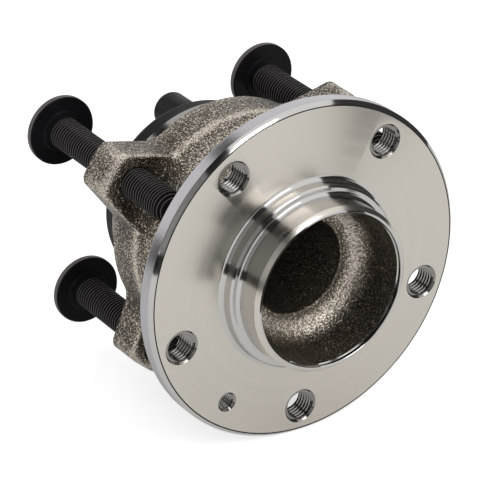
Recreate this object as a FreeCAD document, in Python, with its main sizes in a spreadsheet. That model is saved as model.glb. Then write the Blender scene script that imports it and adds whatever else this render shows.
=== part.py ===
"""Wheel hub bearing: a flanged hub turning on two rows of balls inside a forged outer ring.

The axle lies along Y. The wheel side points to -Y, the vehicle side to +Y, and +Z is up.
The origin is the centre of the wheel face. All lengths are in millimetres, angles in degrees.
"""
import FreeCAD, Part
import Sketcher
import math
import os

Vector = FreeCAD.Vector
Rotation = FreeCAD.Rotation
Placement = FreeCAD.Placement

# Driving sizes: name, value
SIZES = [
    ("flange_radius", 64.6),
    ("flange_rim_thickness", 7.1),
    ("flange_root_station", 12.5),
    ("flange_taper_width", 22.6),
    ("flange_root_step", 1.4),
    ("rim_chamfer", 1.4),
    ("rim_back_chamfer", 0.6),
    ("rim_land", 2.4),
    ("wheel_hole_inset", 10.6),
    ("wheel_bolt_count", 5),
    ("wheel_hole_radius", 5.25),
    ("wheel_hole_mouth_radius", 6.6),
    ("wheel_hole_angle", 52.1),
    ("locating_hole_radius", 2.5),
    ("locating_hole_mouth_radius", 3.8),
    ("wheel_pilot_radius", 31.7),
    ("wheel_pilot_length", 16.5),
    ("pilot_lead", 1.4),
    ("disc_pilot_radius", 35.0),
    ("disc_pilot_length", 5.3),
    ("disc_pilot_chamfer", 0.7),
    ("disc_pilot_root", 2.0),
    ("pilot_bore_radius", 29.4),
    ("pilot_bore_depth", 1.6),
    ("pilot_bore_edge", 0.4),
    ("dish_wall_radius", 28.4),
    ("dish_bowl_radius", 9.8),
    ("dish_floor_station", 4.8),
    ("pocket_mouth_radius", 18.2),
    ("pocket_end_radius", 13.2),
    ("pocket_station", 33.0),
    ("pocket_round", 5.0),
    ("ball_radius", 6.35),
    ("ball_pitch_radius", 28.5),
    ("ball_count", 12),
    ("race_clearance", 0.12),
    ("outboard_row_station", 29.0),
    ("inboard_row_station", 56.0),
    ("inner_high_shoulder_radius", 26.3),
    ("inner_low_shoulder_radius", 23.4),
    ("shoulder_reach", 3.0),
    ("ring_chamfer", 0.6),
    ("seal_land_radius", 27.4),
    ("seal_land_station", 20.0),
    ("seal_land_fillet", 3.0),
    ("seal_land_chamfer", 1.0),
    ("hub_back_station", 13.2),
    ("spindle_radius", 17.0),
    ("spindle_step_station", 43.0),
    ("inner_ring_end_station", 66.5),
    ("formed_head_radius", 21.6),
    ("formed_head_height", 4.8),
    ("formed_head_round", 2.4),
    ("outer_front_station", 15.2),
    ("barrel_front_radius", 41.5),
    ("barrel_radius", 45.2),
    ("barrel_taper_start", 25.0),
    ("barrel_taper_end", 43.0),
    ("mounting_station", 57.0),
    ("lug_thickness", 14.0),
    ("spigot_radius", 38.8),
    ("spigot_end_station", 69.4),
    ("spigot_chamfer", 1.0),
    ("outer_high_shoulder_radius", 31.6),
    ("outer_low_shoulder_radius", 34.3),
    ("seal_seat_radius", 36.2),
    ("seal_seat_depth", 4.6),
    ("cap_seat_radius", 35.4),
    ("cap_seat_depth", 5.6),
    ("knuckle_bolt_radius", 52.6),
    ("upper_lug_angle", 33.5),
    ("lower_lug_angle", 48.4),
    ("upper_lug_tip_wall", 11.5),
    ("lower_lug_tip_wall", 9.7),
    ("lug_tip_half_width", 7.6),
    ("lug_corner_radius", 4.5),
    ("lug_flare", 20.0),
    ("lug_blend_radius", 9.0),
    ("lug_front_blend", 8.0),
    ("upper_lug_shift", 0.6),
    ("bolt_shank_radius", 6.0),
    ("bolt_length", 77.0),
    ("bolt_tip_radius", 4.4),
    ("bolt_tip_lead", 3.4),
    ("bolt_hole_clearance", 0.05),
    ("bolt_head_station", 94.5),
    ("bolt_flange_radius", 13.3),
    ("bolt_flange_thickness", 2.8),
    ("bolt_flange_edge", 0.8),
    ("bolt_collar_radius", 8.0),
    ("bolt_collar_height", 0.6),
    ("bolt_hex_radius", 9.24),
    ("bolt_hex_height", 5.0),
    ("bolt_hex_lead", 1.4),
    ("bolt_hex_lead_angle", 30.0),
    ("bolt_turn_1", 15.0),
    ("bolt_turn_2", 22.0),
    ("bolt_turn_3", 33.0),
    ("bolt_turn_4", 5.0),
    ("cage_inner_radius", 26.8),
    ("cage_outer_radius", 30.2),
    ("cage_back_reach", 8.2),
    ("cage_open_reach", 3.2),
    ("pocket_clearance", 0.2),
    ("seal_case_wall", 0.8),
    ("seal_case_recess", 0.3),
    ("seal_back_gap", 0.4),
    ("seal_case_inner_radius", 30.6),
    ("seal_rubber_wall", 1.0),
    ("seal_foot_width", 2.2),
    ("lip_edge", 0.6),
    ("lip_clearance", 0.3),
    ("carrier_wall", 0.8),
    ("carrier_sleeve_length", 2.0),
    ("encoder_thickness", 1.2),
    ("encoder_inner_radius", 28.4),
    ("encoder_outer_radius", 32.8),
    ("cap_radius", 36.5),
    ("cap_height", 9.2),
    ("cap_wall", 1.8),
    ("cap_round", 2.6),
    ("cap_skirt_length", 5.0),
    ("cap_skirt_wall", 2.1),
    ("cap_inside_slope", 1.0),
    ("o_ring_thickness", 1.0),
    ("o_ring_groove_width", 1.2),
    ("sensor_tip_chamfer", 0.5),
    ("sensor_offset", 28.3),
    ("sensor_radius", 4.4),
    ("sensor_gap", 0.8),
    ("connector_radius", 7.0),
    ("connector_end_station", 92.0),
    ("connector_round", 2.0),
    ("socket_radius", 4.7),
    ("socket_depth", 7.0),
    ("pin_radius", 0.5),
    ("pin_half_spacing", 1.6),
    ("pin_length", 7.5),
    ("running_fit", 0.1),
    ("cut_overrun", 1.0),
]

doc = FreeCAD.newDocument("wheel_hub_bearing")
sheet = doc.addObject("Spreadsheet::Sheet", "Sheet")
for row, (name, value) in enumerate(SIZES, start=1):
    sheet.set(f"A{row}", name)
    sheet.set(f"B{row}", str(value))
    sheet.setAlias(f"B{row}", name)
doc.recompute()


class Size:
    """A size kept as a sheet expression and, beside it, as its present number."""

    def __init__(self, text, value):
        self.text = text
        self.value = float(value)

    @staticmethod
    def wrap(other):
        return other if isinstance(other, Size) else Size(repr(float(other)), other)

    def __add__(self, other):
        other = Size.wrap(other)
        return Size(f"({self.text} + {other.text})", self.value + other.value)

    def __sub__(self, other):
        other = Size.wrap(other)
        return Size(f"({self.text} - {other.text})", self.value - other.value)

    def __mul__(self, other):
        other = Size.wrap(other)
        return Size(f"({self.text} * {other.text})", self.value * other.value)

    def __truediv__(self, other):
        other = Size.wrap(other)
        return Size(f"({self.text} / {other.text})", self.value / other.value)

    def __neg__(self):
        return Size(f"(0 - {self.text})", -self.value)


def size(name):
    """One driving size, by its name in the sheet."""
    return Size(f"Sheet.{name}", sheet.get(name))


def root(amount):
    """The square root of a size."""
    return Size(f"sqrt({amount.text})", math.sqrt(amount.value))


def trig(function, angle):
    """A sine, cosine or tangent of an angle in degrees, as a size."""
    value = getattr(math, function)(math.radians(angle.value))
    return Size(f"{function}({angle.text})", value)


ZERO = Size("0", 0.0)
FULL_TURN = Size.wrap(360.0)
HALF_TURN = FULL_TURN / 2.0
HEX_SIDES = 6
parts = []


def bind(feature, **bindings):
    """Tie properties of a feature to sizes. A double underscore stands for a dot."""
    for key, amount in bindings.items():
        feature.setExpression(key.replace("__", "."), Size.wrap(amount).text)


def new_body(name):
    """A sub-part, whose name is its file's name."""
    body = doc.addObject("PartDesign::Body", name)
    body.Label = name
    parts.append(body)
    return body


def origin_feature(body, role):
    for feature in body.Origin.OriginFeatures:
        if feature.Role == role:
            return feature
    raise ValueError(role)


def new_sketch(body, name, plane="XY_Plane", offset=ZERO, turn=ZERO, about=Vector(0, 1, 0)):
    """A sketch on an origin plane, moved along its normal and turned about an axis of its own."""
    sketch = body.newObject("Sketcher::SketchObject", name)
    sketch.AttachmentSupport = [(origin_feature(body, plane), "")]
    sketch.MapMode = "FlatFace"
    turned = Rotation(about, turn.value)
    sketch.AttachmentOffset = Placement(Vector(0, 0, offset.value), turned)
    if offset is not ZERO:
        sketch.setExpression(".AttachmentOffset.Base.z", offset.text)
    if turn is not ZERO:
        sketch.setExpression(".AttachmentOffset.Rotation.Angle", turn.text)
    return sketch


def fix_point(sketch, geometry, position, x, y):
    """Hold a sketch point at a place given by two sizes."""
    for kind, amount, axis in (("DistanceX", x, -2), ("DistanceY", y, -1)):
        if abs(amount.value) < 1e-9:
            sketch.addConstraint(Sketcher.Constraint("PointOnObject", geometry, position, axis))
        elif amount.value > 0:
            held = Sketcher.Constraint(kind, -1, 1, geometry, position, amount.value)
            index = sketch.addConstraint(held)
            sketch.setExpression(f"Constraints[{index}]", amount.text)
        else:
            held = Sketcher.Constraint(kind, geometry, position, -1, 1, -amount.value)
            index = sketch.addConstraint(held)
            sketch.setExpression(f"Constraints[{index}]", (-amount).text)


def arc_between(start, end, radius, clockwise):
    """The shorter arc of a radius from one point to another."""
    chord = end - start
    half = chord.Length / 2
    rise = math.sqrt(max(radius * radius - half * half, 0.0))
    side = Vector(-chord.y, chord.x, 0).normalize()
    centre = (start + end) * 0.5 + side * (-rise if clockwise else rise)
    first, last = (end, start) if clockwise else (start, end)
    angles = [math.atan2(point.y - centre.y, point.x - centre.x) for point in (first, last)]
    return Part.ArcOfCircle(Part.Circle(centre, Vector(0, 0, 1), radius), *angles)


def draw_loop(sketch, corners):
    """Draw a closed outline. A corner is x, y and, for an arc to the next, radius and turn."""
    count = len(corners)
    ends = []
    for index, corner in enumerate(corners):
        following = corners[(index + 1) % count]
        start = Vector(corner[0].value, corner[1].value, 0)
        end = Vector(following[0].value, following[1].value, 0)
        if len(corner) == 2:
            sketch.addGeometry(Part.LineSegment(start, end))
            ends.append((1, 2))
        else:
            clockwise = corner[3] == "clockwise"
            sketch.addGeometry(arc_between(start, end, corner[2].value, clockwise))
            ends.append((2, 1) if clockwise else (1, 2))
    for index in range(count):
        following = (index + 1) % count
        joined = (index, ends[index][1], following, ends[following][0])
        sketch.addConstraint(Sketcher.Constraint("Coincident", *joined))
    for index, corner in enumerate(corners):
        if len(corner) > 2:
            held = Sketcher.Constraint("Radius", index, corner[2].value)
            number = sketch.addConstraint(held)
            sketch.setExpression(f"Constraints[{number}]", corner[2].text)
    for index, corner in enumerate(corners):
        fix_point(sketch, index, ends[index][0], corner[0], corner[1])


def draw_circle(sketch, x, y, radius):
    index = sketch.GeometryCount
    circle = Part.Circle(Vector(x.value, y.value, 0), Vector(0, 0, 1), radius.value)
    sketch.addGeometry(circle)
    number = sketch.addConstraint(Sketcher.Constraint("Radius", index, radius.value))
    sketch.setExpression(f"Constraints[{number}]", radius.text)
    fix_point(sketch, index, 3, x, y)


def revolve(body, name, corners, cut=False):
    """Turn an outline of radius and station about the axle, to add or to cut."""
    sketch = new_sketch(body, name + "Outline")
    draw_loop(sketch, corners)
    kind = "PartDesign::Groove" if cut else "PartDesign::Revolution"
    feature = body.newObject(kind, name)
    feature.Profile = sketch
    feature.ReferenceAxis = (sketch, ["V_Axis"])
    feature.Angle = FULL_TURN.value
    doc.recompute()
    return feature


def race_groove(body, name, station):
    """A ball track, round in section, turned about the axle."""
    sketch = new_sketch(body, name + "Section")
    track = size("ball_radius") + size("race_clearance")
    draw_circle(sketch, size("ball_pitch_radius"), station, track)
    groove = body.newObject("PartDesign::Groove", name)
    groove.Profile = sketch
    groove.ReferenceAxis = (sketch, ["V_Axis"])
    groove.Angle = FULL_TURN.value
    doc.recompute()
    return groove


def drilled_hole(body, name, distance, angle, corners):
    """A hole parallel to the axle, turned from half its section at a distance and angle."""
    sketch = new_sketch(body, name + "Section", turn=-angle)
    placed = [(distance + corner[0],) + tuple(corner[1:]) for corner in corners]
    draw_loop(sketch, placed)
    low = Vector(distance.value, placed[0][1].value, 0)
    high = Vector(distance.value, placed[-1][1].value, 0)
    line = sketch.addGeometry(Part.LineSegment(low, high), True)
    sketch.addConstraint(Sketcher.Constraint("Vertical", line))
    fix_point(sketch, line, 1, distance, placed[0][1])
    number = sketch.addConstraint(Sketcher.Constraint("DistanceY", line, 1, line, 2, (high - low).y))
    sketch.setExpression(f"Constraints[{number}]", (placed[-1][1] - placed[0][1]).text)
    groove = body.newObject("PartDesign::Groove", name)
    groove.Profile = sketch
    groove.ReferenceAxis = (sketch, ["Axis0"])
    groove.Angle = FULL_TURN.value
    doc.recompute()
    return groove


def polar(body, name, feature, count):
    """Repeat a feature evenly round the axle."""
    pattern = body.newObject("PartDesign::PolarPattern", name)
    pattern.Originals = [feature]
    pattern.Axis = (origin_feature(body, "Y_Axis"), [""])
    pattern.Angle = FULL_TURN.value
    pattern.Occurrences = int(count.value)
    pattern.setExpression("Occurrences", count.text)
    body.Tip = pattern
    doc.recompute()
    return pattern


def countersunk(mouth, bore, entry, exit_station):
    """Half section of a through hole with a 45 degree mouth at its entry station."""
    over = size("cut_overrun")
    return [
        (ZERO, entry - over),
        (mouth + over, entry - over),
        (bore, entry + (mouth - bore)),
        (bore, exit_station),
        (ZERO, exit_station),
    ]


def make_hub():
    """Flange, pilots, forged pocket, outboard ball track and spindle, in one forging."""
    body = new_body("hub")
    flange = size("flange_radius")
    rim = size("flange_rim_thickness")
    chamfer = size("rim_chamfer")
    back_chamfer = size("rim_back_chamfer")
    pilot = size("wheel_pilot_radius")
    front = -size("wheel_pilot_length")
    lead = size("pilot_lead")
    disc = size("disc_pilot_radius")
    disc_front = -size("disc_pilot_length")
    edge = size("disc_pilot_chamfer")
    root = size("disc_pilot_root")
    bore = size("pilot_bore_radius")
    bore_edge = size("pilot_bore_edge")
    wall = size("dish_wall_radius")
    bowl = size("dish_bowl_radius")
    floor = size("dish_floor_station")
    mouth = size("pocket_mouth_radius")
    pocket = size("pocket_end_radius")
    depth = size("pocket_station")
    blend = size("pocket_round")
    land = size("seal_land_radius")
    land_end = size("seal_land_station")
    back = size("hub_back_station")
    fillet = size("seal_land_fillet")
    ring_chamfer = size("ring_chamfer")
    high = size("inner_high_shoulder_radius")
    low = size("inner_low_shoulder_radius")
    row = size("outboard_row_station")
    step = size("spindle_step_station")
    spindle = size("spindle_radius")
    ring_end = size("inner_ring_end_station")
    head = size("formed_head_radius")
    head_end = ring_end + size("formed_head_height")
    head_round = size("formed_head_round")
    taper_foot = flange - size("flange_taper_width")
    corners = [
        (ZERO, depth),
        (pocket - blend, depth, blend, "clockwise"),
        (pocket, depth - blend),
        (mouth, floor),
        (wall - bowl, floor, bowl, "clockwise"),
        (wall, floor - bowl),
        (bore - bore_edge, front + size("pilot_bore_depth")),
        (bore, front + size("pilot_bore_depth") - bore_edge),
        (bore, front),
        (pilot - lead, front),
        (pilot, front + lead),
        (pilot, disc_front),
        (disc - edge, disc_front),
        (disc, disc_front + edge),
        (disc, -root, root, "anticlockwise"),
        (disc + root, ZERO),
        (flange - chamfer, ZERO),
        (flange, chamfer),
        (flange, rim - back_chamfer),
        (flange - back_chamfer, rim),
        (flange - size("rim_land"), rim),
        (taper_foot, size("flange_root_station")),
        (taper_foot - size("flange_root_step"), back),
        (land + fillet, back, fillet, "anticlockwise"),
        (land, back + fillet),
        (land, land_end),
        (high, land_end + size("seal_land_chamfer")),
        (high, row),
        (low, row),
        (low, step - ring_chamfer),
        (low - ring_chamfer, step),
        (spindle, step),
        (spindle, ring_end),
        (head, ring_end),
        (head, head_end - head_round, head_round, "anticlockwise"),
        (head - head_round, head_end),
        (ZERO, head_end),
    ]
    revolve(body, "HubForging", corners)
    race_groove(body, "OutboardInnerTrack", row)
    bolt_circle = flange - size("wheel_hole_inset")
    hole = drilled_hole(
        body,
        "WheelHole",
        bolt_circle,
        size("wheel_hole_angle"),
        countersunk(size("wheel_hole_mouth_radius"), size("wheel_hole_radius"), ZERO,
                    size("flange_root_station") + size("cut_overrun")),
    )
    polar(body, "WheelHoles", hole, size("wheel_bolt_count"))
    drilled_hole(
        body,
        "LocatingHole",
        bolt_circle,
        size("wheel_hole_angle") + HALF_TURN,
        countersunk(size("locating_hole_mouth_radius"), size("locating_hole_radius"), ZERO,
                    size("flange_root_station") + size("cut_overrun")),
    )


def make_inner_ring():
    """The separate inboard race, pressed on the spindle and held by its formed head."""
    body = new_body("inner_ring")
    bore = size("spindle_radius")
    start = size("spindle_step_station")
    end = size("inner_ring_end_station")
    low = size("inner_low_shoulder_radius")
    high = size("inner_high_shoulder_radius")
    row = size("inboard_row_station")
    chamfer = size("ring_chamfer")
    corners = [
        (bore, start),
        (low - chamfer, start),
        (low, start + chamfer),
        (low, row),
        (high, row),
        (high, end - chamfer),
        (high - chamfer, end),
        (bore, end),
    ]
    revolve(body, "InnerRing", corners)
    race_groove(body, "InboardInnerTrack", row)


def lug_side(reach, shift):
    """Corners of one side of a lug, from its tip to where its hollow blend meets the barrel."""
    corner = size("lug_corner_radius")
    barrel = size("barrel_radius")
    blend = size("lug_blend_radius")
    cosine = trig("cos", size("lug_flare"))
    sine = trig("sin", size("lug_flare"))
    half = size("lug_tip_half_width") + shift
    tip_y = half - corner * (Size.wrap(1.0) - sine) / cosine
    side_x = reach - corner + corner * sine
    side_y = tip_y + corner * cosine
    out = side_x * sine + side_y * cosine + blend
    along = root((barrel + blend) * (barrel + blend) - out * out)
    centre_x = out * sine + along * cosine
    centre_y = out * cosine - along * sine
    foot = barrel / (barrel + blend)
    wall = (size("outer_low_shoulder_radius") + size("barrel_front_radius")) / 2.0 / barrel
    return [
        (reach, tip_y),
        (side_x, side_y),
        (centre_x - blend * sine, centre_y - blend * cosine),
        (centre_x * foot, centre_y * foot),
        (centre_x * foot * wall, centre_y * foot * wall),
    ]


def lug_outline(reach, shift):
    """One lug seen along the axle, reaching out along x, its tip off centre by a shift."""
    tip, side, blend, foot, inside = lug_side(reach, shift)
    mirrored = [(x, -y) for x, y in lug_side(reach, -shift)]
    low_tip, low_side, low_blend, low_foot, low_inside = mirrored
    corner = size("lug_corner_radius")
    hollow = size("lug_blend_radius")
    wall = (size("outer_low_shoulder_radius") + size("barrel_front_radius")) / 2.0
    return [
        low_inside,
        low_foot + (hollow, "clockwise"),
        low_blend,
        low_side + (corner, "anticlockwise"),
        low_tip,
        tip + (corner, "anticlockwise"),
        side,
        blend + (hollow, "clockwise"),
        foot,
        inside + (wall, "clockwise"),
    ]


def lugs():
    """Angle of each lug round the axle, its reach, and how far its tip is off centre."""
    upper = size("upper_lug_angle")
    lower = size("lower_lug_angle")
    bolt_distance = size("knuckle_bolt_radius")
    long_reach = bolt_distance + size("upper_lug_tip_wall")
    short_reach = bolt_distance + size("lower_lug_tip_wall")
    shift = size("upper_lug_shift")
    return [
        (HALF_TURN - upper, long_reach, shift),
        (upper, long_reach, -shift),
        (HALF_TURN + lower, short_reach, ZERO),
        (-lower, short_reach, ZERO),
    ]


def lug_front_arc():
    """Ends of the arc that sweeps the barrel's taper out into the front of the lugs."""
    start = size("barrel_taper_start")
    end = size("barrel_taper_end")
    barrel = size("barrel_radius")
    front = size("mounting_station") - size("lug_thickness")
    blend = size("lug_front_blend")
    slope = (barrel - size("barrel_front_radius")) / (end - start)
    slant = root(slope * slope + 1.0)
    at_front = barrel - slope * (end - front)
    centre = at_front + blend * (slant - slope)
    return (
        centre - blend / slant,
        front - blend + blend * slope / slant,
        centre,
        front,
    )


def make_outer_ring():
    """Forged outer ring: barrel, four lugs, knuckle spigot, two ball tracks and both seats."""
    body = new_body("outer_ring")
    front = size("outer_front_station")
    end = size("spigot_end_station")
    mounting = size("mounting_station")
    seal_seat = size("seal_seat_radius")
    cap_seat = size("cap_seat_radius")
    high = size("outer_high_shoulder_radius")
    low = size("outer_low_shoulder_radius")
    groove_reach = size("shoulder_reach")
    first = size("outboard_row_station")
    second = size("inboard_row_station")
    narrow = size("barrel_front_radius")
    barrel = size("barrel_radius")
    spigot = size("spigot_radius")
    chamfer = size("spigot_chamfer")
    corners = [
        (seal_seat, front),
        (narrow - chamfer, front),
        (narrow, front + chamfer),
        (narrow, size("barrel_taper_start")),
        (barrel, size("barrel_taper_end")),
        (barrel, mounting),
        (spigot, mounting),
        (spigot, end - chamfer),
        (spigot - chamfer, end),
        (cap_seat, end),
        (cap_seat, end - size("cap_seat_depth")),
        (low, end - size("cap_seat_depth")),
        (low, second),
        (high, second - groove_reach),
        (high, first + groove_reach),
        (low, first),
        (low, front + size("seal_seat_depth")),
        (seal_seat, front + size("seal_seat_depth")),
    ]
    revolve(body, "Barrel", corners)
    foot_radius, foot_station, blend_radius, blend_station = lug_front_arc()
    depth = mounting - foot_station
    for index, (angle, reach, shift) in enumerate(lugs(), start=1):
        about = Vector(0, 0, 1)
        sketch = new_sketch(body, f"LugOutline{index}", "XZ_Plane", -mounting, angle, about)
        draw_loop(sketch, lug_outline(reach, shift))
        pad = body.newObject("PartDesign::Pad", f"Lug{index}")
        pad.Profile = sketch
        pad.Length = depth.value
        bind(pad, Length=depth)
        doc.recompute()
    over = size("cut_overrun")
    beyond = size("knuckle_bolt_radius") * 2.0
    revolve(body, "LugFronts", [
        (foot_radius, foot_station, size("lug_front_blend"), "clockwise"),
        (blend_radius, blend_station),
        (beyond, blend_station),
        (beyond, foot_station - over),
    ], cut=True)
    race_groove(body, "OutboardOuterTrack", first)
    race_groove(body, "InboardOuterTrack", second)
    hole = size("bolt_shank_radius") + size("bolt_hole_clearance")
    lug_front = foot_station - over
    for index, (angle, reach, shift) in enumerate(lugs(), start=1):
        section = [
            (ZERO, lug_front),
            (hole, lug_front),
            (hole, mounting - chamfer),
            (hole + chamfer * 2.0, mounting + chamfer),
            (ZERO, mounting + chamfer),
        ]
        distance = size("knuckle_bolt_radius")
        drilled_hole(body, f"LugHole{index}", distance, angle, section)


def make_row(side, station, direction):
    """One row: twelve balls and the crown cage that spaces them, open towards the other row."""
    pitch = size("ball_pitch_radius")
    count = size("ball_count")
    cage = new_body(f"{side}_cage")
    back = station - size("cage_back_reach") * direction
    mouth = station + size("cage_open_reach") * direction
    inner = size("cage_inner_radius")
    outer = size("cage_outer_radius")
    revolve(cage, "CageRing", [(inner, back), (outer, back), (outer, mouth), (inner, mouth)])
    pocket = cage.newObject("PartDesign::SubtractiveCylinder", "Pocket")
    radius = size("ball_radius") + size("pocket_clearance")
    start = inner - radius / 2.0
    reach = (outer - inner) + radius
    pocket.Radius = radius.value
    pocket.Height = reach.value
    pocket.AttachmentOffset = Placement(Vector(station.value, 0, start.value), Rotation())
    pocket.AttachmentSupport = [(origin_feature(cage, "YZ_Plane"), "")]
    pocket.MapMode = "FlatFace"
    pocket.setExpression(".AttachmentOffset.Base.x", station.text)
    pocket.setExpression(".AttachmentOffset.Base.z", start.text)
    bind(pocket, Radius=radius, Height=reach)
    doc.recompute()
    polar(cage, "Pockets", pocket, count)
    for index in range(int(count.value)):
        ball = new_body(f"{side}_ball_{index + 1:02d}")
        sphere = ball.newObject("PartDesign::AdditiveSphere", "Ball")
        sphere.Radius = size("ball_radius").value
        bind(sphere, Radius=size("ball_radius"))
        angle = FULL_TURN * index / count
        across = pitch * trig("cos", angle)
        up = pitch * trig("sin", -angle)
        ball.Placement = Placement(Vector(across.value, station.value, up.value), Rotation())
        ball.setExpression(".Placement.Base.x", across.text)
        ball.setExpression(".Placement.Base.y", station.text)
        ball.setExpression(".Placement.Base.z", up.text)


def make_outboard_seal():
    """A pressed steel case in the outer ring, and the rubber lips that ride on the hub."""
    front = size("outer_front_station")
    seat = size("seal_seat_radius")
    wall = size("seal_case_wall")
    inner = size("seal_case_inner_radius")
    recess = size("seal_case_recess")
    plate_back = front + size("seal_seat_depth") - size("seal_back_gap")
    plate_front = plate_back - wall
    case = new_body("outboard_seal_case")
    corners = [
        (seat - wall, front + recess),
        (seat, front + recess),
        (seat, plate_back),
        (inner, plate_back),
        (inner, plate_front),
        (seat - wall, plate_front),
    ]
    revolve(case, "Case", corners)
    lip = new_body("outboard_seal_lip")
    rubber = size("seal_rubber_wall")
    edge = size("lip_edge")
    foot = inner + size("seal_foot_width")
    touch = size("seal_land_radius") + size("lip_clearance")
    wipe = size("hub_back_station") + size("lip_clearance")
    corners = [
        (foot, plate_front),
        (inner, plate_front),
        (inner, plate_back),
        (inner - rubber, plate_back),
        (touch + edge, plate_back),
        (touch, plate_back - edge),
        (inner - rubber, plate_front - edge),
        (inner - rubber, plate_front - rubber),
        (inner + rubber, wipe),
        (inner + rubber + edge, wipe),
        (inner + rubber, plate_front - rubber),
        (foot, plate_front - rubber),
    ]
    revolve(lip, "Lips", corners)


def make_encoder():
    """The carrier pressed on the inner ring's shoulder, and the magnetic ring bonded to it."""
    shoulder = size("inner_high_shoulder_radius")
    wall = size("carrier_wall")
    end = size("inner_ring_end_station") + wall / 2.0
    outer = size("encoder_outer_radius")
    carrier = new_body("encoder_carrier")
    corners = [
        (shoulder, end - size("carrier_sleeve_length")),
        (shoulder + wall, end - size("carrier_sleeve_length")),
        (shoulder + wall, end),
        (outer, end),
        (outer, end + wall),
        (shoulder, end + wall),
    ]
    revolve(carrier, "Carrier", corners)
    ring = new_body("encoder_ring")
    inner = size("encoder_inner_radius")
    face = end + wall
    top = face + size("encoder_thickness")
    revolve(ring, "Magnet", [(inner, face), (outer, face), (outer, top), (inner, top)])
    return top


def make_cap():
    """The closed vehicle-side cap, with a skirt in the outer ring, and its sealing ring."""
    cap = new_body("rear_cap")
    end = size("spigot_end_station")
    seat = size("cap_seat_radius")
    radius = size("cap_radius")
    wall = size("cap_wall")
    top = end + size("cap_height")
    blend = size("cap_round")
    skirt = seat - size("cap_skirt_wall")
    groove = size("o_ring_thickness")
    middle = end - size("cap_skirt_length") / 2.0
    half_groove = size("o_ring_groove_width") / 2.0
    corners = [
        (ZERO, top - wall),
        (radius - wall - blend, top - wall),
        (skirt, top - wall - size("cap_inside_slope")),
        (skirt, end - size("cap_skirt_length")),
        (seat, end - size("cap_skirt_length")),
        (seat, middle - half_groove),
        (seat - groove, middle - half_groove),
        (seat - groove, middle + half_groove),
        (seat, middle + half_groove),
        (seat, end),
        (radius, end),
        (radius, top - blend, blend, "anticlockwise"),
        (radius - blend, top),
        (ZERO, top),
    ]
    revolve(cap, "Cap", corners)
    hole = size("sensor_radius") + size("running_fit")
    over = size("cut_overrun")
    section = [
        (ZERO, top - wall - over),
        (hole, top - wall - over),
        (hole, top + over),
        (ZERO, top + over),
    ]
    drilled_hole(cap, "SensorHole", size("sensor_offset"), HALF_TURN / 2.0, section)
    seal = new_body("cap_seal_ring")
    sketch = new_sketch(seal, "SealSection")
    draw_circle(sketch, seat - groove / 2.0, middle, groove / 2.0)
    ring = seal.newObject("PartDesign::Revolution", "SealRing")
    ring.Profile = sketch
    ring.ReferenceAxis = (sketch, ["V_Axis"])
    ring.Angle = FULL_TURN.value
    return top


def make_sensor(encoder_face, cap_top):
    """Speed sensor with its socket, its own sealing ring and two contact pins."""
    head = encoder_face + size("sensor_gap")
    radius = size("sensor_radius")
    collar = size("connector_radius")
    end = size("connector_end_station")
    blend = size("connector_round")
    socket = size("socket_radius")
    bottom = end - size("socket_depth")
    groove = size("o_ring_thickness")
    tip_chamfer = size("sensor_tip_chamfer")
    sensor = new_body("speed_sensor")
    corners = [
        (ZERO, head),
        (radius - tip_chamfer, head),
        (radius, head + tip_chamfer),
        (radius, cap_top + groove),
        (radius + groove, cap_top + groove),
        (radius + groove, cap_top),
        (collar, cap_top),
        (collar, end - blend, blend, "anticlockwise"),
        (collar - blend, end),
        (socket, end),
        (socket, bottom),
        (ZERO, bottom),
    ]
    revolve(sensor, "Sensor", corners)
    seal = new_body("sensor_seal_ring")
    sketch = new_sketch(seal, "SealSection")
    draw_circle(sketch, radius + groove / 2.0, cap_top + groove / 2.0, groove / 2.0)
    ring = seal.newObject("PartDesign::Revolution", "SealRing")
    ring.Profile = sketch
    ring.ReferenceAxis = (sketch, ["V_Axis"])
    ring.Angle = FULL_TURN.value
    for body in (sensor, seal):
        body.Placement = Placement(Vector(0, 0, size("sensor_offset").value), Rotation())
        body.setExpression(".Placement.Base.z", size("sensor_offset").text)
    for index, sign in ((1, -1.0), (2, 1.0)):
        pin = new_body(f"connector_pin_{index}")
        thickness = size("pin_radius")
        tip = bottom + size("pin_length")
        corners = [
            (ZERO, bottom),
            (thickness, bottom),
            (thickness, tip - thickness * 2.0),
            (thickness / 2.0, tip),
            (ZERO, tip),
        ]
        revolve(pin, "Pin", corners)
        across = size("pin_half_spacing") * sign
        pin.Placement = Placement(Vector(across.value, 0, size("sensor_offset").value), Rotation())
        pin.setExpression(".Placement.Base.x", across.text)
        pin.setExpression(".Placement.Base.z", size("sensor_offset").text)


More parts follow.
